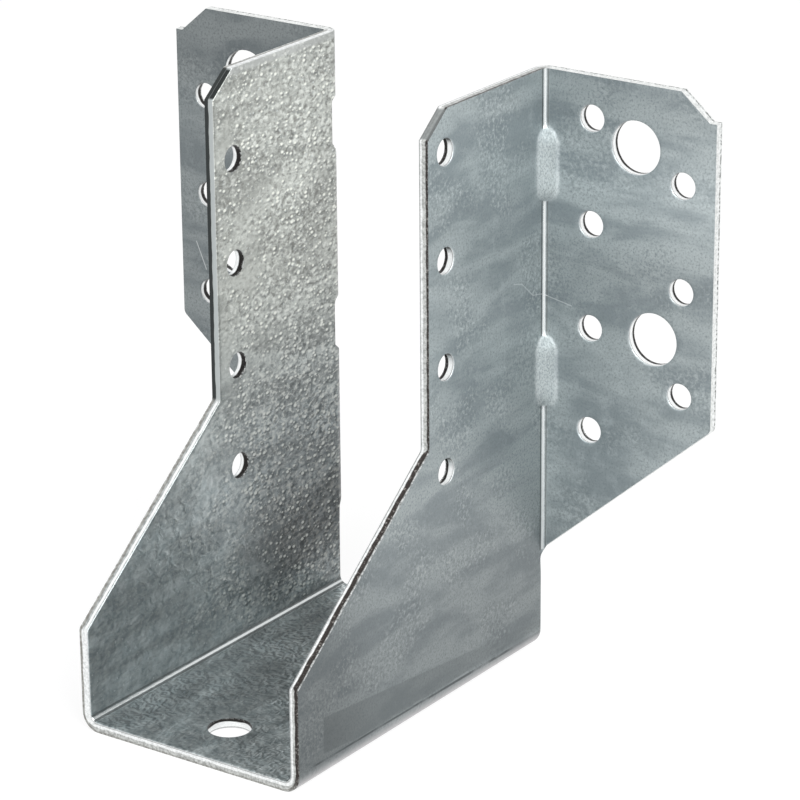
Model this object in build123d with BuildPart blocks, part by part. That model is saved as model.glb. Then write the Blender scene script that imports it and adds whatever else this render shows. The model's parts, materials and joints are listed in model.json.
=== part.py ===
from build123d import *
import os

# Joist hanger: one steel sheet, blanked, punched and folded cold.
# The seat and two walls form a U that carries the joist's end. A flange is folded
# outwards from the back of each wall, and is nailed or bolted to the header.
# Frame: +X to the right as seen from the joist's side, the joist comes in along +Y,
# +Z up. The origin is in the middle of the footprint, on the underside of the seat.
# All sizes are in millimetres.

# Sheet
sheet = 2.0                # thickness
bend_radius = 1.5          # inside of the folds beside the seat
fold_radius = 1.0          # inside of the flanges' folds
corner_radius = 1.5        # rounding at both ends of the flange's slanted edge
slant_radius = 1.0         # rounding at both ends of the wall's slanted edge

# Seat and walls
joist_width = 45.0         # clear width between the walls
seat_depth = 80.0          # header face to the nose
height = 114.0             # underside of the seat to the top edge
back_inset = 2.5           # header face to the back edge of the seat
nose_height = 20.0         # underside to the top of the nose
slant_top = 51.5           # underside to the upper end of the slanted edge
wall_depth = 39.5          # header face to the upper front edge
wall_corner_length = 6.0   # corner cut at the top of the wall, along the depth
wall_corner_drop = 4.8     # and down the front edge

# Header flanges
flange_width = 36.0        # outer face of the wall to the outer edge
flange_edge = 63.0         # top edge to the lower end of the straight outer edge
flange_foot = 20.0         # height at which the slanted lower edge meets the wall
relief_drop = 1.5          # and how far below that the fold ends
flange_corner_length = 7.4 # corner cut at the top, along the width
flange_corner_drop = 5.0   # and down the outer edge
flange_corner_step = 1.5   # level step that the corner cut leaves at the outer edge

# Holes
nail_hole = 5.0            # diameter
nail_pitch = 20.0          # between the rows
wall_nail_inset = 5.5      # upper front edge of the wall to its nails
wall_nail_top = 8.0        # top edge to the first nail of the right wall
wall_nail_stagger = 9.0    # the left wall's nails sit lower, so that none meet
wall_nail_rows = 4
inner_nail_out = 10.0      # outer face of the wall to the flange's inner column
inner_nail_top = 8.0
inner_nail_rows = 4
outer_nail_out = 29.2      # outer face of the wall to the flange's outer column
outer_nail_top = 17.5
outer_nail_rows = 3
bolt_hole = 10.0           # diameter
upper_bolt_out = 19.3
upper_bolt_top = 12.0
lower_bolt_out = 23.4
lower_bolt_top = 47.6
seat_hole = 8.0            # diameter
seat_hole_inset = 12.0     # nose to the hole

# Stiffening beads, pressed into each flange fold from its convex side
bead_depth = 1.8
bead_radius = 3.4          # of the groove, its ridge is one sheet larger
bead_length = 10.6         # of the groove
bead_end = 1.2             # rounding at both ends of the groove
bead_rows = (0.5, 2.5)     # middle of each bead, in pitches below the first nail row

# Derived places
header_face = seat_depth / 2
wall_in = joist_width / 2
wall_out = wall_in + sheet
bend_outer = bend_radius + sheet
fold_outer = fold_radius + sheet
flange_out = wall_out + flange_width
relief_height = flange_foot - relief_drop
first_row = height - inner_nail_top
bead_heights = [first_row - rows * nail_pitch for rows in bead_rows]
bead_reach = (fold_outer - bead_depth + bead_radius) / 2 ** 0.5
bead_x = wall_in + fold_outer - bead_reach
bead_y = header_face - fold_outer + bead_reach

# Planes that touch the header face
header = Plane.XZ.offset(-header_face)
header_plan = Plane((0, header_face, 0))
header_side = Plane((0, header_face, 0), x_dir=(0, 1, 0), z_dir=(1, 0, 0))


def column(across, top, rows):
    """Places of one vertical column of nails, counted down from the top edge."""
    return [(across, height - top - row * nail_pitch) for row in range(rows)]


def bead_bars(wall):
    """Upright round bars with rounded ends in the middle of each bead, larger than the grooves by a wall."""
    with BuildPart() as bars:
        for middle in bead_heights:
            with Locations((bead_x, bead_y, middle)):
                Cylinder(bead_radius + wall, bead_length + 2 * wall)
        fillet(bars.edges().filter_by(GeomType.CIRCLE), radius=bead_end + wall)
    return bars.part


# Grooves of the right fold's beads, and the ridges they raise in its hollow, kept
# only where they stand clear of the sheet
groove_bars = bead_bars(0)
ridge_bars = bead_bars(sheet)
with BuildPart() as ridges:
    add(ridge_bars)
    with Locations((wall_out - sheet / 4, header_face - sheet * 3 / 4, 0)):
        Box(flange_width, seat_depth, height, align=(Align.MIN, Align.MAX, Align.MIN), mode=Mode.INTERSECT)

# Right flange with its fold and a short overlap into the wall
with BuildPart() as flange:
    with BuildSketch(header_plan):
        with BuildLine():
            convex = FilletPolyline(
                (wall_in, -fold_outer - sheet), (wall_in, 0), (flange_out, 0), radius=fold_outer
            )
            hollow = FilletPolyline(
                (wall_out, -fold_outer - sheet), (wall_out, -sheet), (flange_out, -sheet), radius=fold_radius
            )
            Line(convex @ 0, hollow @ 0)
            Line(convex @ 1, hollow @ 1)
        make_face()
    extrude(amount=height)
    with BuildSketch(header):
        with BuildLine():
            Polyline(
                (wall_in, relief_height),
                (wall_in, height),
                (flange_out - flange_corner_length, height),
                (flange_out - flange_corner_step, height - flange_corner_drop),
                (flange_out, height - flange_corner_drop),
                (flange_out, height - flange_edge),
                (wall_out, flange_foot),
                (wall_out, relief_height),
                close=True,
            )
        outline = make_face()
        rising = outline.vertices().filter_by_position(Axis.X, wall_out, flange_out).sort_by(Axis.Y)
        fillet(rising[1:3], radius=corner_radius)
    extrude(amount=fold_outer + sheet, mode=Mode.INTERSECT)
    add(ridges.part)
    add(groove_bars, mode=Mode.SUBTRACT)
    with BuildSketch(header):
        with Locations(
            *column(wall_out + inner_nail_out, inner_nail_top, inner_nail_rows),
            *column(wall_out + outer_nail_out, outer_nail_top, outer_nail_rows),
        ):
            Circle(nail_hole / 2)
        with Locations(
            (wall_out + upper_bolt_out, height - upper_bolt_top),
            (wall_out + lower_bolt_out, height - lower_bolt_top),
        ):
            Circle(bolt_hole / 2)
    extrude(amount=sheet, mode=Mode.SUBTRACT)

with BuildPart() as joist_hanger:
    # Seat and walls, one U section along the depth
    with BuildSketch(header):
        with BuildLine():
            outside = FilletPolyline(
                (-wall_out, height), (-wall_out, 0), (wall_out, 0), (wall_out, height), radius=bend_outer
            )
            inside = FilletPolyline(
                (-wall_in, height), (-wall_in, sheet), (wall_in, sheet), (wall_in, height), radius=bend_radius
            )
            Line(outside @ 0, inside @ 0)
            Line(outside @ 1, inside @ 1)
        make_face()
    extrude(amount=seat_depth)
    # Side outline, the same for both walls
    with BuildSketch(header_side):
        with BuildLine():
            Polyline(
                (-seat_depth, 0),
                (-seat_depth, nose_height),
                (-wall_depth, slant_top),
                (-wall_depth, height - wall_corner_drop),
                (wall_corner_length - wall_depth, height),
                (-fold_outer, height),
                (-fold_outer, relief_height),
                (-back_inset, relief_height),
                (-back_inset, 0),
                close=True,
            )
        side = make_face()
        nose_top = side.vertices().group_by(Axis.X)[0].sort_by(Axis.Y)[-1]
        slant_end = side.vertices().group_by(Axis.X)[1].sort_by(Axis.Y)[0]
        fillet([nose_top, slant_end], radius=slant_radius)
    extrude(amount=wall_out, both=True, mode=Mode.INTERSECT)
    # Flanges
    add(flange.part)
    mirror(flange.part, about=Plane.YZ)
    # Nail holes of the walls
    for hand, drop in ((1, 0), (-1, wall_nail_stagger)):
        with BuildSketch(header_side.offset(hand * (wall_in + sheet / 2))):
            with Locations(*column(wall_nail_inset - wall_depth, wall_nail_top + drop, wall_nail_rows)):
                Circle(nail_hole / 2)
        extrude(amount=sheet, both=True, mode=Mode.SUBTRACT)
    # Hole in the seat
    with BuildSketch(header_plan):
        with Locations((0, seat_hole_inset - seat_depth)):
            Circle(seat_hole / 2)
    extrude(amount=sheet, mode=Mode.SUBTRACT)

joist_hanger.part.label = "joist_hanger"

os.makedirs("parts", exist_ok=True)
export_step(joist_hanger.part, "parts/joist_hanger.step")
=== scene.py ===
"""Joist hanger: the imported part's folded sheet as a fine mesh with its rolled, sheared and torn edges,
in weathered zinc, with the camera, lamps and floor of a plain product photograph."""
import json
from math import cos, pi, radians, sin
from types import SimpleNamespace

import bpy
import numpy as np
from mathutils import Matrix, Vector
from mathutils.geometry import delaunay_2d_cdt


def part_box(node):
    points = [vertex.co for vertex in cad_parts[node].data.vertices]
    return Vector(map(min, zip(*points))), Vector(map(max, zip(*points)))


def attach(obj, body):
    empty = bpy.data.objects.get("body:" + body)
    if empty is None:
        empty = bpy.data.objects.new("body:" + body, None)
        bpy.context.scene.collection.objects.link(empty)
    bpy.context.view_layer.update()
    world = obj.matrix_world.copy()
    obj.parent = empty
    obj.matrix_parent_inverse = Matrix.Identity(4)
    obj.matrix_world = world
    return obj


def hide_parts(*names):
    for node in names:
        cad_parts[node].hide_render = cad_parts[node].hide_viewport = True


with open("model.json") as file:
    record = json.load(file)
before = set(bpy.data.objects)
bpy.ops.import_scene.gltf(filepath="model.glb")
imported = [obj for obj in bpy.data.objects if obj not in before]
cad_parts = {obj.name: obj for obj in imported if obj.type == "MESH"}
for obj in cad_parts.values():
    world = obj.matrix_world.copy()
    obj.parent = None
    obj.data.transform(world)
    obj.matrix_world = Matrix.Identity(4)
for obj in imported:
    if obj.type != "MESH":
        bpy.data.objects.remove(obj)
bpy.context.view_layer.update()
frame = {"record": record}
MM = 0.001

# Sizes in millimetres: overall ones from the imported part, the rest as in its source
low, high = (np.array(corner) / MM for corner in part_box("joist_hanger"))
mounts = {mount["name"]: mount for mount in frame["record"]["mounts"]}
sheet = mounts["seat"]["pos_m"][2] / MM
wall_in = mounts["joist_side_right"]["pos_m"][0] / MM
wall_out = wall_in + sheet
flange_out, header_face, height = high
nose = low[1]
bend_radius = 1.5
fold_radius = 1.0
corner_radius = 1.5
slant_radius = 1.0
back_inset = 2.5
nose_height = 20.0
slant_top = 51.5
wall_depth = 39.5
wall_corner = (6.0, 4.8)
flange_edge = 63.0
flange_foot = 20.0
flange_corner = (7.4, 5.0)
flange_step = 1.5
bead_depth = 1.8
bead_radius = 3.4
bead_length = 10.6
bead_end = 1.2
bead_tops = (18.0, 58.0)    # top edge to the middle of each bead
relief_drop = 1.5           # below the flange's foot, where the fold ends
fold_fade = 4.5             # and over which length below the fold it fades in

# The bends beside the seat and the flanges' folds, measured along the middle of the sheet
bend_middle, bend_outer = bend_radius + sheet / 2, bend_radius + sheet
bend_length = bend_middle * pi / 2
seat_flat = wall_in - bend_radius
wall_start = seat_flat + bend_length
fold_middle, fold_outer = fold_radius + sheet / 2, fold_radius + sheet
fold_length = fold_middle * pi / 2
fold_start = header_face - fold_outer
flange_start = fold_start + fold_length

# Fineness of the mesh
grid_step = 0.8             # between the grid's lines on the flats
bend_steps = 14             # lines over each fold
rim_step = 0.55             # between points along a rim
rim_clear = 0.55            # beside a rim, kept free of the grid
arc_points = 7              # on each rounded corner
sliver = 1e-4               # twice the area in mm2 under which a triangle is dropped
sharp_turn = radians(24)    # turn of the outline above which its corner stays sharp

# Sheared edges: rolled rim, straight land and torn face
roll_radius = 0.28
roll_steps = 4
burnish_share = 0.46        # of the sheet's thickness, where the tear starts
torn_inset = 0.07
tear_steps = 5

# Beads: how softly the sheet lies on the bar that presses it, and how far from the bar the push fades
bead_softness = 0.06
bead_end_fade = 0.4
bead_near, bead_far = 8.0, 14.0


def girth(z):
    """Distance along the blank from the centre line to a height on a wall."""
    return wall_start + z - bend_outer


def reach(x):
    """Distance along the blank towards the header to a place x on a flange."""
    return flange_start + x - wall_in - fold_outer


def smooth(x, start, end):
    """Smoothstep from 0 at start to 1 at end."""
    t = np.clip((x - start) / (end - start), 0, 1)
    return t * t * (3 - 2 * t)


def fold(a, q, w):
    """Blank to folded sheet. a runs across the seat and up a wall, q towards the header and out along a
    flange, w from the middle of the sheet towards its outer side. The seat fold turns a point by the angle
    (|a| - seat_flat) / radius about its axis, the flange fold by (q - fold_start) / radius, and past each
    fold the point goes straight on. An arc of length L and angle A moves a point L sin(A) / A ahead and
    L (1 - cos(A)) / A aside. Below the flange the second fold fades out, so the wall stays flat."""
    side = np.sign(a) + (a == 0)
    a = np.abs(a)
    turn = np.clip((a - seat_flat) / bend_middle, 0, pi / 2)
    x = np.minimum(a, seat_flat) + (bend_middle + w) * np.sin(turn)
    z = bend_outer - (bend_middle + w) * np.cos(turn) + np.maximum(a - wall_start, 0)
    length = np.clip(q - fold_start, 0, fold_length)
    fold_low = flange_foot - relief_drop
    angle = smooth(z, fold_low - fold_fade, fold_low) * length / fold_middle
    rest = np.maximum(q - flange_start, 0)
    x += length * angle / 2 * np.sinc(angle / 2 / pi) ** 2 + rest * np.sin(angle) + w * (np.cos(angle) - 1)
    y = np.minimum(q, fold_start) + length * np.sinc(angle / pi) + rest * np.cos(angle) - w * np.sin(angle)
    return np.stack([side * x, y, z], -1)


def press_beads(points, w):
    """Pushes the sheet off an upright bar that lies along each flange fold. A point at distance d from the
    bar's middle line goes to the smooth maximum of d and the bar's radius r there, which is
    (r + d + sqrt((r - d)^2 + softness)) / 2. On the sheet's inner side the bar has radius bead_radius, length
    bead_length and ends rounded by bead_end; on its outer side all three are one sheet larger, the length at
    both ends. Also gives how far each point went."""
    out = points.copy()
    moved = np.zeros(len(points))
    reach_in = (fold_outer - bead_depth + bead_radius) / 2 ** 0.5
    middle = np.array([wall_in + fold_outer - reach_in, header_face - fold_outer + reach_in])
    rounding = bead_end + sheet / 2 + w
    for top in bead_tops:
        at = out.copy()
        at[:, 0] = np.abs(at[:, 0])
        past = np.maximum(np.abs(at[:, 2] - height + top) - bead_length / 2 + bead_end, 0)
        radius = bead_radius - bead_end + np.sqrt(np.maximum(rounding ** 2 - past ** 2, 0))
        radius *= smooth(rounding - past, 0, bead_end_fade)
        arm = at[:, :2] - middle
        d = np.maximum(np.linalg.norm(arm, axis=1), 1e-6)
        push = 0.5 * (radius - d + np.sqrt((radius - d) ** 2 + bead_softness))
        push *= smooth(-d, -bead_far, -bead_near)
        step = arm / d[:, None] * push[:, None]
        step[:, 0] *= np.sign(out[:, 0])
        out[:, :2] += step
        moved += push
    return out, moved


def rounded(corners):
    """Closed outline from corners (a, q, radius): each corner with a radius becomes an arc that touches both
    of its sides, with arc_points points."""
    at = np.array([c[:2] for c in corners])
    points = []
    for i, (a, q, radius) in enumerate(corners):
        if not radius:
            points.append(at[i][None])
            continue
        back = at[i - 1] - at[i]
        ahead = at[(i + 1) % len(at)] - at[i]
        back, ahead = back / np.linalg.norm(back), ahead / np.linalg.norm(ahead)
        half = np.arccos(np.clip(back @ ahead, -1, 1)) / 2
        bisector = (back + ahead) / np.linalg.norm(back + ahead)
        centre = at[i] + bisector * radius / sin(half)
        start = at[i] + back * radius / np.tan(half) - centre
        end = at[i] + ahead * radius / np.tan(half) - centre
        t = np.linspace(0, 1, arc_points)[:, None]
        arc = (1 - t) * start + t * end
        points.append(centre + radius * arc / np.linalg.norm(arc, axis=1)[:, None])
    return np.concatenate(points)


def resampled(loop, step):
    """The same closed outline with its long sides divided into even parts of about the given step."""
    ends = np.roll(loop, -1, axis=0)
    counts = np.maximum(1, np.round(np.linalg.norm(ends - loop, axis=1) / step)).astype(int)
    index = np.repeat(np.arange(len(loop)), counts)
    share = np.concatenate([np.arange(n) / n for n in counts])[:, None]
    return loop[index] * (1 - share) + ends[index] * share


def outward(loop):
    """Unit normals of a closed outline that runs anticlockwise: its tangent turned to the right."""
    tangent = np.roll(loop, -1, axis=0) - np.roll(loop, 1, axis=0)
    normal = np.column_stack([tangent[:, 1], -tangent[:, 0]])
    return normal / np.linalg.norm(normal, axis=1)[:, None]


def inside(points, loop):
    """Even-odd rule: a point is inside when a ray from it crosses the outline an odd number of times."""
    a, b = loop, np.roll(loop, -1, axis=0)
    x, y = points[:, :1], points[:, 1:]
    crosses = (a[:, 1] > y) != (b[:, 1] > y)
    rise = np.where(b[:, 1] == a[:, 1], 1, b[:, 1] - a[:, 1])
    return ((crosses & (x < a[:, 0] + (y - a[:, 1]) * (b[:, 0] - a[:, 0]) / rise)).sum(1) % 2) == 1


def distance(points, loop):
    """Distance from each point to the nearest side of a closed outline."""
    a = loop
    side = np.roll(loop, -1, axis=0) - a
    arm = points[:, None, :] - a[None]
    t = np.clip((arm * side).sum(-1) / np.maximum((side * side).sum(-1), 1e-12), 0, 1)
    return np.linalg.norm(arm - t[..., None] * side, axis=-1).min(1)


def blank_outline():
    """Corners (a, q, radius) of the whole blank: the right half, then the left half mirrored."""
    slope = (height - flange_edge - flange_foot) / (flange_out - wall_out)
    foot_q = header_face - back_inset
    foot_z = flange_foot + (fold_radius - (flange_start - foot_q)) * slope
    front = header_face - wall_depth
    half = [
        (girth(nose_height), nose, slant_radius),
        (girth(slant_top), front, slant_radius),
        (girth(height - wall_corner[1]), front, 0),
        (girth(height), front + wall_corner[0], 0),
        (girth(height), reach(flange_out - flange_corner[0]), 0),
        (girth(height - flange_corner[1]), reach(flange_out - flange_step), 0),
        (girth(height - flange_corner[1]), reach(flange_out), 0),
        (girth(height - flange_edge), reach(flange_out), corner_radius),
        (girth(foot_z), foot_q, corner_radius),
    ]
    return half + [(-a, q, r) for a, q, r in reversed(half)]


def mount_holes():
    """Every hole of the record's bolt patterns and bores as blank place and radius: the pattern's centre plus
    or minus half of each spacing, then laid flat by the face that it is in."""
    holes = []
    for mount in mounts.values():
        size = mount["dims"]
        if not size:
            continue
        axis = np.abs(mount["axis"])
        first, second = (np.eye(3)[i] for i in range(3) if axis[i] < 0.5)
        half_x, half_y = size.get("spacing_x_mm", 0) / 2, size.get("spacing_y_mm", 0) / 2
        for i, j in {(i * half_x, j * half_y) for i in (-1, 1) for j in (-1, 1)}:
            x, y, z = np.array(mount["pos_m"]) / MM + i * first + j * second
            side = 1 if x >= 0 else -1
            if axis[1] > 0.5:
                place = (side * girth(z), reach(abs(x)))
            elif axis[0] > 0.5:
                place = (side * girth(z), y)
            else:
                place = (x, y)
            holes.append((*place, size.get("hole_r_mm", size.get("r_mm"))))
    return sorted(holes)


def grid_lines(stops, fine):
    """Lines across the blank: even ones of about grid_step between the stops, and bend_steps of them over
    each stretch that is marked fine."""
    lines = [np.array(stops[:1])]
    for start, end, bend in zip(stops[:-1], stops[1:], fine):
        count = bend_steps if bend else int(np.ceil((end - start) / grid_step))
        lines.append(np.linspace(start, end, count + 1)[1:])
    return np.concatenate(lines)


def blank_mesh():
    """The flat blank cut into triangles: grid points that stay clear of every rim, the rims themselves, and
    the Delaunay triangles between them that lie in the sheet."""
    outline = rounded(blank_outline())
    holes = mount_holes()
    a_lines = grid_lines([0, seat_flat, wall_start, girth(height)], [0, 1, 0])
    a_lines = np.concatenate([-a_lines[:0:-1], a_lines])
    q_lines = grid_lines([nose, fold_start, flange_start, reach(flange_out)], [0, 1, 0])
    grid = np.stack(np.meshgrid(a_lines, q_lines, indexing="ij"), -1).reshape(-1, 2)
    keep = inside(grid, outline)
    grid = grid[keep]
    keep = distance(grid, outline) > rim_clear
    for a, q, radius in holes:
        keep &= np.hypot(grid[:, 0] - a, grid[:, 1] - q) > radius + rim_clear
    grid = grid[keep]
    loops = [resampled(outline, rim_step)]
    for a, q, radius in holes:
        angle = np.linspace(0, 2 * pi, int(np.ceil(2 * pi * radius / rim_step)) + 1)[:-1]
        loops.append(np.column_stack([a + radius * np.cos(angle), q + radius * np.sin(angle)]))
    points = np.concatenate(loops + [grid])
    starts = np.cumsum([0] + [len(loop) for loop in loops])
    edges = [(s + i, s + (i + 1) % len(loop)) for s, loop in zip(starts, loops) for i in range(len(loop))]
    made = delaunay_2d_cdt([Vector(p) for p in points], edges, [], 0, 1e-5)
    flat = np.array([tuple(v) for v in made[0]])
    triangles = np.array(made[2])
    middle = flat[triangles].mean(1)
    corner = flat[triangles]
    turn = np.cross(corner[:, 1] - corner[:, 0], corner[:, 2] - corner[:, 0])
    keep = inside(middle, outline) & (np.abs(turn) > sliver)
    for loop in loops[1:]:
        keep &= ~inside(middle, loop)
    triangles[turn < 0] = triangles[turn < 0][:, ::-1]
    triangles = triangles[keep]
    return flat, triangles, loops, starts


def edge_profile():
    """Inset and depth of a sheared edge from its rolled side to its torn side: a quarter circle of
    roll_radius, a straight burnished land, then a torn face that leans in by torn_inset."""
    turn = np.linspace(0, pi / 2, roll_steps + 1)[1:]
    roll = np.column_stack([roll_radius * (1 - np.sin(turn)), roll_radius * (1 - np.cos(turn))])
    land = burnish_share * sheet
    torn = np.linspace(0, 1, tear_steps + 1)[:-1]
    tear = np.column_stack([torn_inset * smooth(torn, 0, 0.4), land + (sheet - land) * torn])
    return np.concatenate([roll, tear])


def patina(a, q, inner):
    """Painted light and shade, as a factor on the zinc's colour: how brightly each region is lit, as sums of
    smooth steps over heights z and depths q, in millimetres."""
    z = np.abs(a) - wall_start + bend_outer
    left = a < 0
    on_wall = smooth(np.abs(a), seat_flat, wall_start)
    # Joist side of the left wall, painted light and shade: lit bright at the top, in shade towards the header
    # further down, paler again at its foot, a little darker along the fold and in a band that climbs towards
    # the header
    left_inside = 1.08 + 0.18 * smooth(z, 60, 105) - 0.72 * smooth(-z, -75, -15) * smooth(q, -10, 20)
    left_inside += 0.25 * smooth(-z, -14, -5) * smooth(q, -10, 10)
    left_inside -= 0.13 * smooth(q, 25, 34) * smooth(z, 50, 80)
    left_inside -= 0.12 * smooth(q, 5, 25) * smooth(-np.abs(z - 8 - 0.36 * q), -9, -3)
    # Painted light on the seat: even, but brighter at its back edge, and painted evenly on the right wall's
    # joist side
    seat_tone = 1.0 + 0.4 * smooth(q, 27, 36)
    inside_tone = seat_tone + on_wall * (np.where(left, left_inside, 0.9) - seat_tone)
    # Painted light and shade on the outer faces: walls in shade towards their foot and nose, the left flange in
    # shade, the right one in bands of light, a painted highlight on the seat's bends and painted shade on the
    # underside
    wall = 0.57 + 0.53 * smooth(z, 5, 80) - 0.18 * smooth(-q, 10, 35) + 0.07 * smooth(z, 92, 105)
    left_flange = 0.64 - 0.12 * smooth(z, 92, 105)
    right_flange = np.interp(z, [41, 60, 78, 94, 109], [1.25, 1.1, 0.93, 1.25, 0.97])
    flange = np.where(left, left_flange, right_flange)
    outside_tone = wall + smooth(q, fold_start, flange_start) * (flange - wall)
    outside_tone += smooth(-np.abs(a), -wall_start - 0.5, -wall_start + 2) * (1.2 - outside_tone)
    outside_tone -= 0.2 * smooth(-np.abs(a), -seat_flat - 1, -seat_flat)
    return np.where(inner > 0.5, inside_tone, outside_tone)


def bend_share(a, q):
    """1 along the middle of each fold and 0 on the flats: the sine of the share of the fold passed."""
    up = np.clip((np.abs(a) - seat_flat) / bend_length, 0, 1)
    out = np.clip((q - fold_start) / fold_length, 0, 1)
    return np.maximum(np.sin(pi * up), np.sin(pi * out) * (np.abs(a) > girth(flange_foot)))


def hanger_mesh(name):
    """The folded sheet: both skins of the blank, a strip of the edge profile round each rim, all of it folded
    and its beads pressed. The UV map holds the blank in metres. Attributes of the corners say more: inner is 1
    on the joist side, cut is the depth through a sheared edge from 0 to 1, hole is 1 in a hole's wall, patina
    is the painted light and shade as a factor on the zinc's colour and bend is 1 along the middle of a fold.
    The points' attribute bead is the bead's push in millimetres."""
    flat, triangles, loops, starts = blank_mesh()
    count = len(flat)
    profile = edge_profile()
    rows = len(profile)
    rim = np.zeros((count, 2))
    rolled_inside = np.zeros(count, bool)
    for k, (loop, start) in enumerate(zip(loops, starts)):
        # The outline is rolled on the joist side, the holes on the outer side
        rim[start:start + len(loop)] = outward(loop) if k == 0 else -outward(loop)
        rolled_inside[start:start + len(loop)] = k == 0
    blank, depth = [], []
    for side in (1, -1):
        rolled = rolled_inside == (side < 0)
        blank.append(flat - rim * np.where(rolled, roll_radius, torn_inset)[:, None])
        depth.append(np.full(count, side * sheet / 2))
    # Anticlockwise on the blank faces the joist side once folded
    faces = [triangles[:, ::-1], triangles + count]
    corner_values = [np.zeros((len(triangles), 3, 3)), np.zeros((len(triangles), 3, 3))]
    corner_values[1][..., 0] = 1
    sharp = []
    total = 2 * count
    for k, (loop, start) in enumerate(zip(loops, starts)):
        from_side = -1 if k == 0 else 1
        n = len(loop)
        normal = rim[start:start + n]
        blank.append((loop[None] - normal[None] * profile[:, None, :1]).reshape(-1, 2))
        depth.append(np.repeat(from_side * (sheet / 2 - profile[:, 1]), n))
        ring = np.arange(n)
        first = start + ring + (count if from_side < 0 else 0)
        last = start + ring + (0 if from_side < 0 else count)
        rings = np.concatenate([first[None], total + np.arange(rows)[:, None] * n + ring, last[None]])
        levels = np.concatenate([[0], profile[:, 1] / sheet, [1]])
        ahead = np.roll(rings, -1, axis=1)
        quads = np.stack([rings[:-1], rings[1:], ahead[1:], ahead[:-1]], -1)
        values = np.zeros((rows + 1, n, 4, 3))
        values[..., 0] = k == 0
        values[..., 1] = np.stack([levels[:-1], levels[1:], levels[1:], levels[:-1]], -1)[:, None, :]
        values[..., 2] = k > 0
        quads, values = quads.reshape(-1, 4), values.reshape(-1, 4, 3)
        for turn in ([0, 1, 2], [0, 2, 3]):
            faces.append(quads[:, turn])
            corner_values.append(values[:, turn])
        sharp.append(np.column_stack([last, np.roll(last, -1)]))
        tangent = np.roll(loop, -1, axis=0) - loop
        before = np.roll(tangent, 1, axis=0)
        cosine = (tangent * before).sum(1) / np.linalg.norm(tangent, axis=1) / np.linalg.norm(before, axis=1)
        corners = rings[:, cosine < cos(sharp_turn)]
        sharp.append(np.stack([corners[:-1], corners[1:]], -1).reshape(-1, 2))
        total += rows * n
    blank, depth = np.concatenate(blank), np.concatenate(depth)
    points = fold(blank[:, 0], blank[:, 1], depth)
    points, bead = press_beads(points, depth)
    faces, corner_values = np.concatenate(faces), np.concatenate(corner_values)
    mesh = bpy.data.meshes.new(name)
    mesh.from_pydata(points * MM, [], faces)
    mesh.shade_smooth()
    corners = faces.ravel()
    mesh.uv_layers.new(name="blank").data.foreach_set("uv", (blank[corners] * MM).ravel())
    corner_values = corner_values.reshape(-1, 3)
    tone = patina(*blank[corners].T, corner_values[:, 0])
    bend = bend_share(*blank[corners].T)
    for key, values in zip(("inner", "cut", "hole", "patina", "bend"), (*corner_values.T, tone, bend)):
        mesh.attributes.new(key, "FLOAT", "CORNER").data.foreach_set("value", values)
    mesh.attributes.new("bead", "FLOAT", "POINT").data.foreach_set("value", bead)
    ends = np.empty(2 * len(mesh.edges), int)
    mesh.edges.foreach_get("vertices", ends)
    ends, sharp = np.sort(ends.reshape(-1, 2), axis=1), np.sort(np.concatenate(sharp), axis=1)
    marked = np.isin(ends @ [total, 1], sharp @ [total, 1])
    mesh.attributes.new("sharp_edge", "BOOLEAN", "EDGE").data.foreach_set("value", marked)
    mesh.update()
    return mesh


def linear(written):
    """Linear colour of an sRGB hex colour."""
    value = np.array([int(written[i:i + 2], 16) for i in (1, 3, 5)]) / 255
    value = np.where(value <= 0.04045, value / 12.92, ((value + 0.055) / 1.055) ** 2.4)
    return (*value, 1.0)


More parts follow.
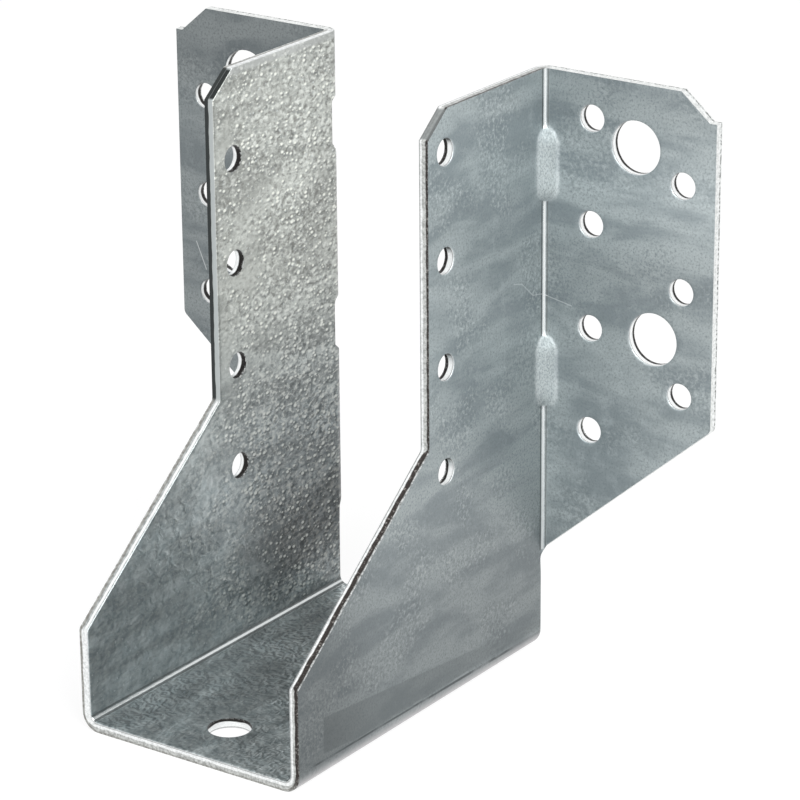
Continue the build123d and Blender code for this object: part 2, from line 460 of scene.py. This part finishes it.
# Nodes by short name: Blender's type, the sockets that the values go to in turn, settings, output used
kinds = {
    "times": ("ShaderNodeMath", (0, 1), {"operation": "MULTIPLY"}, 0),
    "plus": ("ShaderNodeMath", (0, 1), {"operation": "ADD"}, 0),
    "minus": ("ShaderNodeMath", (0, 1), {"operation": "SUBTRACT"}, 0),
    "over": ("ShaderNodeMath", (0, 1), {"operation": "DIVIDE"}, 0),
    "larger": ("ShaderNodeMath", (0, 1), {"operation": "MAXIMUM"}, 0),
    "exceeds": ("ShaderNodeMath", (0, 1), {"operation": "GREATER_THAN"}, 0),
    "size": ("ShaderNodeMath", (0,), {"operation": "ABSOLUTE"}, 0),
    "clamp": ("ShaderNodeClamp", ("Value",), {}, 0),
    # Smooth step of a value from a start to an end, given out from 0 to 1 or between two more values
    "ramp": ("ShaderNodeMapRange", ("Value", "From Min", "From Max", "To Min", "To Max"),
             {"interpolation_type": "SMOOTHSTEP"}, 0),
    # From the first number or colour to the second by a share
    "blend": ("ShaderNodeMix", (0, 2, 3), {}, 0),
    "mix": ("ShaderNodeMix", (0, 6, 7), {"data_type": "RGBA"}, 2),
    "vector": ("ShaderNodeCombineXYZ", (0, 1, 2), {}, 0),
    "parts": ("ShaderNodeSeparateXYZ", (0,), {}, 0),
    "stretch": ("ShaderNodeVectorMath", (0, 1), {"operation": "MULTIPLY"}, 0),
    "shift": ("ShaderNodeVectorMath", (0, 1), {"operation": "ADD"}, 0),
    "arm": ("ShaderNodeVectorMath", (0, 1), {"operation": "SUBTRACT"}, 0),
    "scale": ("ShaderNodeVectorMath", (0, "Scale"), {"operation": "SCALE"}, 0),
    "dot": ("ShaderNodeVectorMath", (0, 1), {"operation": "DOT_PRODUCT"}, "Value"),
    "gap": ("ShaderNodeVectorMath", (0, 1), {"operation": "DISTANCE"}, "Value"),
    # Noise from 0 to 1 with features of about one over its scale, in millimetres
    "noise": ("ShaderNodeTexNoise", ("Vector", "Scale", "Detail", "Roughness", "Distortion"), {}, 0),
    "cells": ("ShaderNodeTexVoronoi", ("Vector", "Scale"), {}, "Distance"),
    "uv": ("ShaderNodeUVMap", (), {}, 0),
    "attribute": ("ShaderNodeAttribute", (), {}, "Fac"),
    "normal": ("ShaderNodeNewGeometry", (), {}, "Normal"),
    "light path": ("ShaderNodeLightPath", (), {}, 0),
    "bump": ("ShaderNodeBump", ("Strength", "Distance", "Height"), {}, 0),
    "principled": ("ShaderNodeBsdfPrincipled", ("Base Color", "Metallic", "Roughness", "Normal"), {}, 0),
    "diffuse": ("ShaderNodeBsdfDiffuse", ("Color",), {}, 0),
    "emission": ("ShaderNodeEmission", ("Color", "Strength"), {}, 0),
    "background": ("ShaderNodeBackground", ("Color", "Strength"), {}, 0),
    "both": ("ShaderNodeAddShader", (0, 1), {}, 0),
    "surface": ("ShaderNodeOutputMaterial", ("Surface",), {}, None),
    "sky": ("ShaderNodeOutputWorld", ("Surface",), {}, None),
}


class Tree:
    """A node tree with one way to add a node, and a few patterns made of several."""

    def __init__(self, owner):
        owner.use_nodes = True
        self.tree = owner.node_tree
        self.tree.nodes.clear()

    def add(self, kind, *values, **settings):
        """Adds a node of one of the kinds. A value is a constant, a hex colour or another node's output."""
        made, sockets, fixed, out = kinds[kind]
        node = self.tree.nodes.new(made)
        for key, value in {**fixed, **settings}.items():
            setattr(node, key, value)
        for socket, value in zip(sockets, values):
            if isinstance(value, bpy.types.NodeSocket):
                self.tree.links.new(value, node.inputs[socket])
            else:
                node.inputs[socket].default_value = linear(value) if isinstance(value, str) else value
        return None if out is None else node.outputs[out]

    def product(self, *values):
        """All the values multiplied, from the first to the last."""
        result = values[0]
        for value in values[1:]:
            result = self.add("times", result, value)
        return result

    def band(self, value, middle, half):
        """1 within a band about a value, fading over a third of its half width."""
        off = self.add("size", self.add("minus", value, middle))
        return self.add("ramp", off, half, half * 0.67, 0.0, 1.0)

    def box(self, x, y, low, high, soft):
        """1 inside a rectangle, fading over twice soft at its sides."""
        sides = [
            self.add("ramp", value, place - way * soft, place + way * soft)
            for value, ends in ((x, (low[0], high[0])), (y, (low[1], high[1])))
            for place, way in zip(ends, (1, -1))
        ]
        return self.add("times", self.product(*sides[:2]), self.product(*sides[2:]))

    def scratch(self, at, start, end, half):
        """A hairline: 1 within half a width of the straight way between two places."""
        along = (end[0] - start[0], end[1] - start[1], 0.0)
        arm = self.add("arm", at, (*start, 0.0))
        share = self.add("over", self.add("dot", arm, along), along[0] ** 2 + along[1] ** 2)
        foot = self.add("scale", along, self.add("clamp", share))
        return self.add("ramp", self.add("gap", arm, foot), half, half * 0.4, 0.0, 1.0)


# Marks on the blank, in millimetres. A tool has pressed a strip along the foot of the walls' outer faces, from
# near the nose to the header, and falling on the way
strip_front = -32.6
strip_fall = 0.095                  # per millimetre towards the header
strip_offset = 3.1                  # the fall from strip_front to the middle
strip_low = girth(5.3) - strip_offset
strip_high = girth(12.2) - strip_offset
# and a print beside each bead
print_front, print_back = 25.1, 34.6
print_heights = ((91.0, 104.0), (49.3, 63.4))
# A crease that bending left along the foot of the outer faces, painted as a dark line of shade, and bright
# dashes above it
crease_place = girth(3.6)
crease_fall = 0.012
dash_rise = 0.5
# Hairlines: one across the right fold, one on the left flange
scratches = [
    ((girth(75.5), 27.8), (girth(74.8), 30.5)),
    ((girth(74.8), 30.5), (girth(71.6), 34.2)),
    ((girth(71.6), 34.2), (girth(69.6), reach(30.5))),
    ((-girth(66.4), reach(56.9)), (-girth(61.0), reach(54.6))),
]
scratch_half = 0.13
# The corner cuts of the walls
corner_low, corner_high = (girth(109.4), -1.0), (girth(113.7), 6.4)


def sheet_places(t):
    """Where a point lies on the blank and in its edges, and the noises that several patterns share."""
    s = SimpleNamespace()
    s.at = t.add("scale", t.add("uv", uv_map="blank"), 1 / MM)
    for name in ("inner", "cut", "hole", "bead", "patina", "bend"):
        setattr(s, name, t.add("attribute", attribute_name=name))
    across, s.q, _ = t.add("parts", s.at).node.outputs
    s.up = t.add("size", across)
    s.outer = t.add("minus", 1.0, s.inner)
    s.solid = t.add("minus", 1.0, s.hole)
    s.right_side = t.add("ramp", across, seat_flat, wall_start)
    s.left_side = t.add("ramp", across, -seat_flat, -wall_start)
    s.on_seat = t.add("ramp", s.up, wall_start, seat_flat)
    s.on_flange = t.add("ramp", s.q, fold_start, flange_start)
    s.high = t.add("ramp", s.up, girth(30.0), girth(75.0))
    # Bands run from front to back, clouds, patches, crust and grain all ways
    s.stretched = t.add("stretch", s.at, (1.0, 0.28, 1.0))
    s.bands = t.add("noise", s.stretched, 0.17, 4.0, 0.55, 0.4)
    s.clouds = t.add("noise", s.at, 0.35, 4.0, 0.6)
    s.patches = t.add("noise", s.at, 0.07, 2.0, 0.5)
    s.crust = t.add("noise", s.at, 1.3, 4.0, 0.65, 0.5)
    s.grain = t.add("noise", s.at, 2.2, 4.0, 0.75)
    # Lumps of the hammered side: longer towards the header, more twisted on the seat
    draw = t.add("vector", t.add("blend", s.on_seat, 1.0, 0.9), t.add("blend", s.on_seat, 0.65, 0.8))
    s.drawn = t.add("stretch", s.at, draw)
    s.twist = t.add("blend", s.on_seat, 0.7, 1.6)
    s.lumps = t.add("noise", s.drawn, 0.6, 2.0, 0.45, s.twist)
    return s


def pressed_places(t, s):
    """1 where a tool has pressed the outer faces smooth: in the strip, fainter towards the header, and, at 0.3,
    in the prints beside the beads."""
    falling = t.add("plus", s.up, t.add("times", s.q, strip_fall))
    strip = t.box(s.q, falling, (strip_front, strip_low), (header_face, strip_high), 0.2)
    fainter = t.add("ramp", s.q, -15.0, 30.0, 1.0, 0.45)
    pressed = t.product(strip, fainter, t.add("ramp", s.up, wall_start, wall_start + 1.0))
    for low_end, high_end in print_heights:
        print_mark = t.box(s.q, s.up, (print_front, girth(low_end)), (print_back, girth(high_end)), 0.15)
        pressed = t.add("larger", pressed, t.add("times", print_mark, 0.3))
    return pressed


def outer_zinc(t, s, pressed):
    """Colour of the outer side: cloudy bands of grey with a fine grain, patches of dark crust and white flecks,
    the warmer grey of a painted highlight round the seat's bends, and a crease painted as a line of shade with
    bright dashes above it."""
    tone = t.add("mix", t.add("ramp", s.bands, 0.36, 0.62), "#929b9e", "#b1b9ba")
    tone = t.add("mix", t.add("ramp", s.clouds, 0.5, 0.75, 0.0, 0.4), tone, "#bcc4c5")
    tone = t.add("mix", t.add("ramp", s.grain, 0.3, 0.55), "#868e91", tone)
    where = t.add("ramp", s.patches, 0.47, 0.6, 0.0, 1.0)
    crusted = t.add("times", t.add("ramp", s.crust, 0.5, 0.42), t.add("times", where, 0.4))
    tone = t.add("mix", crusted, tone, "#7b8487")
    white_flecks = t.product(
        t.add("ramp", s.crust, 0.52, 0.66),
        t.add("plus", where, 0.15),
        t.add("ramp", pressed, 0.0, 1.0, 0.5, 0.05),
        t.add("ramp", s.up, wall_start, wall_start + 3.0, 0.1, 1.0),
        t.add("blend", s.on_flange, 1.0, 0.55),
    )
    tone = t.add("mix", white_flecks, tone, "#cdd3d3")
    # Painted highlight round the seat's bends, in a warmer grey that carries on over the underside
    painted_bend_sheen = t.add("ramp", s.up, wall_start + 0.5, wall_start - 1.5, 0.0, 0.8)
    tone = t.add("mix", painted_bend_sheen, tone, "#b5b2b3")
    # The crease, painted as a broken dark line of shade
    beside_bend = t.add("plus", s.up, t.add("times", s.q, crease_fall))
    broken = t.add("noise", s.stretched, 0.5, 2.0)
    crease = t.product(
        t.band(beside_bend, crease_place, 0.24),
        t.add("ramp", broken, 0.4, 0.55, 0.25, 0.8),
        t.add("ramp", s.q, -37.0, -34.0),
    )
    tone = t.add("mix", crease, tone, "#565c5e")
    dashes = t.band(beside_bend, crease_place + dash_rise, 0.25)
    dashes = t.add("times", dashes, t.add("ramp", broken, 0.56, 0.62, 0.0, 0.6))
    return t.add("mix", dashes, tone, "#c4cacb")


def inner_zinc(t, s):
    """Colour of the hammered joist side: streaks and clouds of grey, warmer high up, with its relief painted as
    light and shade: dark spots, lit and shaded wrinkles, bright spots, and droplets of zinc as painted
    highlights with painted shadows. Also gives the droplets' painted highlights."""
    tone = t.add("mix", t.add("ramp", s.clouds, 0.35, 0.65), "#949d9f", "#a9b0b1")
    tone = t.add("mix", t.add("times", s.high, 0.8), tone, "#a9aba5")
    blotches = t.add("ramp", t.add("noise", s.at, 0.11, 2.0), 0.38, 0.6, 0.85, 1.07)
    streaks = t.add("ramp", s.bands, 0.37, 0.63, 0.78, 1.18)
    tone = t.add("scale", tone, t.add("times", streaks, t.add("blend", s.on_seat, 1.0, blotches)))
    # How lively the surface is: more towards the header and up the walls, less on the flanges
    lively = t.add("ramp", s.q, 2.0, 26.0, 0.25, 0.8)
    lively = t.add("plus", lively, t.add("ramp", s.patches, 0.4, 0.62, -0.1, 0.4))
    low_part = t.add("ramp", s.q, -20.0, 12.0, 0.2, 1.0)
    low_part = t.add("times", low_part, t.add("ramp", s.up, girth(2.0), girth(8.0), 0.3, 1.0))
    lively = t.product(
        lively,
        t.add("blend", t.add("ramp", s.up, girth(45.0), girth(75.0)), low_part, 1.0),
        t.add("ramp", s.q, fold_start, flange_start, 1.0, 0.5),
    )
    calm = t.add("blend", s.high, 1.0, 0.7)
    # Dark spots of the crumbly relief: painted shade
    crumbs = t.add("noise", s.drawn, 1.2, 3.0, 0.6, 0.5)
    relief_shade = t.product(t.add("ramp", crumbs, 0.47, 0.36), t.add("ramp", lively, 0.0, 1.0, 0.35, 1.0), calm)
    tone = t.add("mix", relief_shade, tone, t.add("mix", s.high, "#747e81", "#6c6c68"))
    # Wrinkles painted as light and shade, deep on the seat and faint on the walls: the lumps less the lumps a
    # little aside, as if lit from one side
    aside = t.add("vector", t.add("blend", s.on_seat, 0.3, 0.14), 0.3)
    beside = t.add("noise", t.add("shift", s.drawn, aside), 0.6, 2.0, 0.45, s.twist)
    slope = t.add("minus", s.lumps, beside)
    seat_share = t.add("ramp", s.up, wall_start, seat_flat, 0.25, 0.85)
    relief_shading = t.product(
        t.add("larger", seat_share, t.add("ramp", s.q, 5.0, 30.0, 0.25, 0.8)),
        t.add("ramp", s.patches, 0.35, 0.6, 0.5, 1.3),
        t.add("ramp", s.q, fold_start, flange_start, 1.0, 0.4),
        t.add("blend", s.high, 1.0, 0.5),
        t.add("ramp", slope, -0.09, 0.09, -0.3, 0.3),
    )
    tone = t.add("scale", tone, t.add("plus", 1.0, relief_shading))
    # Bright spots of the crumbly relief: painted highlights
    relief_glints = t.product(t.add("ramp", crumbs, 0.5, 0.64), t.add("ramp", lively, 0.0, 1.0, 0.1, 0.85), calm)
    tone = t.add("mix", relief_glints, tone, "#e2e5e0")
    # Droplets about 1 mm apart, painted as highlights, each with a painted shadow under it
    foot = t.add("cells", t.add("shift", s.drawn, (-0.35, -0.2, 0.0)), 1.05)
    foot = t.product(
        t.add("ramp", foot, 0.5, 0.2),
        t.add("ramp", lively, 0.1, 0.7, 0.1, 0.65),
        t.add("blend", s.high, 1.0, 0.65),
    )
    tone = t.add("mix", foot, tone, "#5f6566")
    drops = t.add("cells", s.drawn, 1.05)
    grown = t.add("plus", drops, t.add("ramp", drops.node.outputs["Color"], 0.2, 0.8, 0.0, 0.22))
    drops = t.add("times", t.add("ramp", grown, 0.42, 0.22), t.add("ramp", lively, 0.1, 0.6, 0.1, 1.0))
    tone = t.add("mix", drops, tone, t.add("mix", s.high, "#dde1de", "#e0e2db"))
    sparks = t.add("ramp", t.add("noise", s.at, 1.5, 1.0, 0.5), 0.69, 0.73)
    tone = t.add("mix", t.add("times", sparks, 0.7), tone, "#ccd2d2")
    # The sheared rim draws the skin in and smooths it
    wavy = t.add("plus", s.up, t.add("times", s.clouds, 1.6))
    rim_band = t.add("ramp", wavy, girth(height) - 0.8, girth(height) - 0.2)
    return t.add("mix", t.add("times", rim_band, 0.6), tone, "#adb0af"), drops


def worked_zinc(t, s):
    """Colour of both sides with all that was done to them: pressed places, the painted light and shade of each
    region, a painted highlight along the middle of the bends and painted shade beside it, beads and scratches.
    Also gives the bends' painted highlight."""
    pressed = pressed_places(t, s)
    inner_tone, drops = inner_zinc(t, s)
    tone = t.add("mix", s.inner, outer_zinc(t, s, pressed), inner_tone)
    pressed = t.add("times", pressed, s.outer)
    tone = t.add("mix", t.add("times", pressed, 0.5), tone, "#949d9f")
    # Painted light and shade of each region scale the colour, a little less where the sheet is pressed
    level = t.add("times", s.patina, t.add("ramp", pressed, 0.0, 1.0, 1.0, 0.86))
    tone = t.add("scale", tone, level)
    # Painted highlights on the droplets, kept where the painted shade has darkened the sheet
    glints = t.product(drops, s.inner, t.add("ramp", level, 0.95, 0.5, 0.0, 0.5))
    tone = t.add("mix", glints, tone, "#c3c7c2")
    # Bends and folds, by the share of the turn that is passed: a painted highlight along the middle and lines
    # of painted shade beside it
    turned = t.add("over", t.add("minus", s.up, seat_flat), bend_length)
    folded = t.add("over", t.add("minus", s.q, fold_start), fold_length)
    has_fold = t.add("times", t.add("exceeds", s.up, girth(flange_foot)), s.outer)
    dark = t.add("larger", t.band(turned, 0.33, 0.12), t.add("times", t.band(turned, 0.77, 0.1), 0.8))
    dark_fold = t.add("larger", t.band(folded, 0.07, 0.1), t.add("times", t.band(folded, 0.76, 0.12), 0.8))
    dark = t.add("larger", t.add("times", dark, s.inner), t.add("times", dark_fold, has_fold))
    fold_line = t.add("ramp", s.up, girth(25.0), girth(60.0), 0.55, 1.0)
    fold_line = t.product(t.band(folded, 0.38, 0.2), fold_line, has_fold)
    bright = t.add("larger", t.add("times", t.band(turned, 0.55, 0.1), s.inner), fold_line)
    off_bead = t.add("ramp", s.bead, 0.35, 0.1, 0.0, 1.0)
    tone = t.add("mix", t.add("times", dark, t.add("times", off_bead, 0.75)), tone, "#454847")
    tone = t.add("mix", t.add("times", bright, t.add("times", off_bead, 0.85)), tone, "#e9ecec")
    # Beads, where the zinc is stretched pale, the pale tone fading towards the foot of the lower one
    stretch = t.product(
        t.add("ramp", s.bead, 0.15, 1.0),
        t.add("ramp", s.crust, 0.36, 0.6, 0.3, 1.0),
        t.add("ramp", s.up, girth(49.0), girth(57.0), 0.2, 1.0),
        s.outer,
    )
    tone = t.add("mix", stretch, tone, t.add("mix", t.add("ramp", s.grain, 0.42, 0.56), "#9aa2a3", "#bdc5c6"))
    for start, end in scratches:
        tone = t.add("mix", t.add("times", t.scratch(s.at, start, end, scratch_half), 0.6), tone, "#dfe3e3")
    return tone, t.add("times", bright, off_bead)


def cut_steel(t, s):
    """Colour of a sheared edge through its depth: rolled rim, burnished land, torn face and burr. How much of
    it is torn, and how dark that looks, changes round the outline as its sides lean to or from the light."""
    round_edge = t.add("shift", s.at, t.add("vector", 0.0, 0.0, t.add("times", s.cut, sheet)))
    wander = t.add("ramp", t.add("noise", round_edge, 0.3, 2.0), 0.25, 0.75, -0.05, 0.05)
    wander = t.add("plus", s.cut, wander)
    rough = t.add("noise", round_edge, 1.6, 4.0, 0.7)
    # Stretches of the outline: nose, slanted edge, upper edge and corner cut
    low = t.add("ramp", s.up, girth(nose_height + 0.5), girth(nose_height - 0.5))
    slanted = t.add("ramp", s.up, girth(nose_height - 0.5), girth(nose_height + 0.5))
    slanted = t.add("times", slanted, t.add("ramp", s.up, girth(slant_top + 0.5), girth(slant_top - 0.5)))
    upper = t.add("ramp", s.up, girth(slant_top - 0.5), girth(slant_top + 0.5))
    corner_cut = t.box(s.up, s.q, corner_low, corner_high, 0.2)
    # Share of the depth at which the tear starts
    right_land = t.add("blend", low, t.add("blend", slanted, 0.7, 0.34), 0.56)
    left_land = t.add("blend", s.on_seat, t.add("blend", low, 0.62, 0.7), 0.76)
    outline_land = t.add("blend", s.right_side, left_land, right_land)
    land = t.add("blend", s.hole, outline_land, t.add("blend", s.left_side, 0.6, 0.4))
    torn = t.add("ramp", t.add("minus", wander, land), 0.0, 0.1)
    # Burnished land, matt further in, with a thin bright line on the left slant. In a hole it is painted
    # brighter as light, but with painted shade on the side that faces down
    burnished = t.add("mix", t.add("ramp", rough, 0.35, 0.6), "#d6d9d9", "#f8fafa")
    matt_from = t.add("blend", s.on_seat, t.add("blend", s.right_side, 0.76, 0.34), 0.4)
    matt = t.add("times", t.add("ramp", t.add("minus", wander, matt_from), 0.0, 0.1), s.solid)
    uneven = t.add("ramp", rough, 0.38, 0.6)
    burnished = t.add("mix", matt, burnished, t.add("mix", uneven, "#9fa19f", "#cbcdcb"))
    slant_tone = t.add("mix", uneven, "#989c9c", "#c6c9c9")
    slant_tone = t.add("mix", t.band(wander, 0.3, 0.16), slant_tone, "#f4f6f6")
    burnished = t.add("mix", t.add("times", slanted, s.left_side), burnished, slant_tone)
    burnished = t.add("mix", t.add("times", s.hole, 0.7), burnished, "#fcfefe")
    rise = t.add("parts", t.add("normal")).node.outputs[2]
    roof = t.add("times", s.hole, t.add("ramp", rise, -0.5, -0.8, 0.0, 0.8))
    burnished = t.add("mix", roof, burnished, "#2f3333")
    # Torn face: dark on the right and in holes, paler at the far side of the slant and on the left; round the
    # outline this is painted light and shade
    dark_tear = t.add("mix", t.add("ramp", rough, 0.54, 0.7), "#34302e", "#918d89")
    far_tear = t.add("mix", t.add("ramp", rough, 0.36, 0.6), "#777a79", "#c2c5c4")
    far = t.add("times", t.add("ramp", wander, 0.8, 0.86), t.add("minus", slanted, s.hole))
    dark_tear = t.add("mix", t.add("clamp", far), dark_tear, far_tear)
    hole_tear = t.add("mix", t.add("ramp", rough, 0.58, 0.7), "#262423", "#7f7f7d")
    dark_tear = t.add("mix", s.hole, dark_tear, hole_tear)
    pale_tear = t.add("mix", t.add("ramp", rough, 0.36, 0.64), "#82817d", "#a6a7a3")
    tear = t.add("mix", t.add("larger", s.right_side, s.hole), pale_tear, dark_tear)
    edge = t.add("mix", torn, burnished, tear)
    # Burr, weak on the right outside its slant and on the left of the nose and the seat
    right_flat = t.add("times", s.right_side, t.add("minus", 1.0, slanted))
    left_low = t.add("times", low, t.add("minus", 1.0, s.right_side))
    burr = t.product(
        t.add("ramp", wander, 0.86, 0.92),
        t.add("ramp", rough, 0.44, 0.56, 0.0, 0.85),
        t.add("blend", right_flat, 1.0, 0.2),
        t.add("blend", left_low, 1.0, 0.3),
    )
    edge = t.add("mix", burr, edge, "#d3d6d5")
    roll = t.add("times", t.band(s.cut, 0.14, 0.05), t.add("blend", s.left_side, 0.6, 0.15))
    edge = t.add("mix", roll, edge, "#5d5f5f")
    # The left wall's upper edge and both corner cuts turn from the light, the flanges' edges to it
    away = t.product(s.left_side, upper, t.add("ramp", s.q, 6.6, 6.2), s.solid)
    edge = t.add("mix", away, edge, t.add("mix", t.add("ramp", wander, 0.52, 0.6), "#b3b9b9", "#343838"))
    near = t.product(corner_cut, s.left_side, t.add("ramp", wander, 0.6, 0.5))
    edge = t.add("mix", near, edge, "#2b2f2f")
    edge = t.add("mix", t.product(corner_cut, s.right_side, 0.85), edge, "#737777")
    line = t.add("times", t.band(wander, 0.3, 0.09), t.add("ramp", rough, 0.42, 0.56, 1.0, 0.2))
    lit_edge = t.add("mix", t.add("ramp", rough, 0.35, 0.6), "#cfd2d1", "#f2f4f3")
    lit_edge = t.add("mix", line, lit_edge, "#4f5150")
    return t.add("mix", t.add("times", s.on_flange, s.solid), edge, lit_edge)


def galvanised_zinc():
    """Hot-dip galvanised sheet: dull grey zinc, smooth and cloudy on the outside of the U, hammered by the
    cooling of the melt on the joist side, whitened where the beads stretch it. The sheared edges show bright
    burnished steel and then dark torn steel."""
    material = bpy.data.materials.new("galvanised_zinc")
    t = Tree(material)
    s = sheet_places(t)
    tone, bend_highlight = worked_zinc(t, s)
    tone = t.add("mix", t.add("ramp", s.cut, 0.04, 0.1), tone, cut_steel(t, s))
    # Relief of the hammered side, calmer high up and in the bends, at most 0.2 mm, and a faint grain everywhere
    peel = t.product(
        s.lumps,
        t.add("ramp", s.inner, 0.0, 1.0, 0.1, 1.0),
        t.add("blend", s.high, 1.0, 0.6),
        t.add("ramp", s.bend, 0.0, 0.6, 1.0, 0.15),
    )
    bump = t.add("bump", 1.0, 0.0002, t.add("plus", peel, t.add("times", s.grain, 0.06)))
    # Weathered zinc is dull, most where a bead has stretched it and least along the bends' painted highlight
    dull = t.add("plus", t.add("ramp", s.clouds, 0.3, 0.7, 0.40, 0.48), t.add("times", s.inner, -0.08))
    dull = t.add("plus", dull, t.add("ramp", s.bead, 0.1, 0.8, 0.0, 0.25))
    dull = t.add("times", dull, t.add("ramp", bend_highlight, 0.0, 1.0, 1.0, 0.6))
    t.add("surface", t.add("principled", tone, 0.75, dull, bump))
    return material


mesh = hanger_mesh("joist_hanger_sheet")
hanger = bpy.data.objects.new("folded_sheet", mesh)
bpy.context.scene.collection.objects.link(hanger)
mesh.materials.append(galvanised_zinc())
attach(hanger, "root")
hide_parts("joist_hanger")

# Camera, in the frame of the part
azimuth, elevation, roll = radians(35.179), radians(20.427), radians(-0.478)
camera_place = Vector((377.75, -509.61, 292.65)) * MM
focal_pixels = 3726.0
image_pixels = 800
sensor_width = 36
back = Vector((sin(azimuth) * cos(elevation), -cos(azimuth) * cos(elevation), sin(elevation)))
level = Vector((cos(azimuth), sin(azimuth), 0))
upright = back.cross(level)
right = cos(roll) * level + sin(roll) * upright
up = cos(roll) * upright - sin(roll) * level
data = bpy.data.cameras.new("camera")
camera = bpy.data.objects.new("camera", data)
bpy.context.scene.collection.objects.link(camera)
camera.matrix_world = Matrix.Translation(camera_place) @ Matrix((right, up, back)).transposed().to_4x4()
data.sensor_width = sensor_width
data.lens = focal_pixels / image_pixels * sensor_width
bpy.context.scene.camera = camera


def seen_by_eye(t):
    """1 for camera, glossy and transmission rays."""
    path = t.add("light path").node.outputs
    seen = t.add("larger", path["Is Camera Ray"], path["Is Glossy Ray"])
    return t.add("larger", seen, path["Is Transmission Ray"])


def softbox(name, place, target, width, depth, watts):
    """A soft rectangular lamp that faces a point."""
    light = bpy.data.lights.new(name, "AREA")
    light.shape = "RECTANGLE"
    light.size, light.size_y, light.energy = width, depth, watts
    lamp = bpy.data.objects.new(name, light)
    bpy.context.scene.collection.objects.link(lamp)
    way = Vector(place) - Vector(target)
    lamp.matrix_world = Matrix.Translation(place) @ way.to_track_quat("Z", "Y").to_matrix().to_4x4()


world = bpy.data.worlds.new("studio")
bpy.context.scene.world = world
t = Tree(world)
# The room lights the object at fill_light, and shows white behind it
fill_light = 0.45
strength = t.add("plus", fill_light, t.add("times", seen_by_eye(t), 1 - fill_light))
t.add("sky", t.add("background", "#ffffff", strength))

floor_mesh = bpy.data.meshes.new("floor")
half = 4.0
corners = [(-half, -half, 0), (half, -half, 0), (half, half, 0), (-half, half, 0)]
floor_mesh.from_pydata(corners, [], [(0, 1, 2, 3)])
floor = bpy.data.objects.new("floor", floor_mesh)
bpy.context.scene.collection.objects.link(floor)
# Backdrop paper: matt pale grey to the object, and near white to the eye, where it still takes the shadow
paper = bpy.data.materials.new("white_paper")
t = Tree(paper)
seen = seen_by_eye(t)
paper_light = t.add("emission", "#ffffff", t.add("times", seen, 0.85))
paper_colour = t.add("diffuse", t.add("mix", seen, "#e8e8e8", "#808080"))
t.add("surface", t.add("both", paper_light, paper_colour))
floor_mesh.materials.append(paper)

middle = (0, 0, 0.06)
softbox("key_right", (0.75, -0.35, 0.8), middle, 0.6, 0.6, 7.0)
softbox("front", (0.3, -1.0, 0.4), middle, 0.5, 0.5, 3.0)
softbox("low_front_right", (0.6, -0.5, 0.18), middle, 0.15, 0.5, 0.4)
softbox("top", (0, 0, 1.0), middle, 0.8, 0.8, 2.0)

bpy.context.scene.view_settings.view_transform = "Standard"
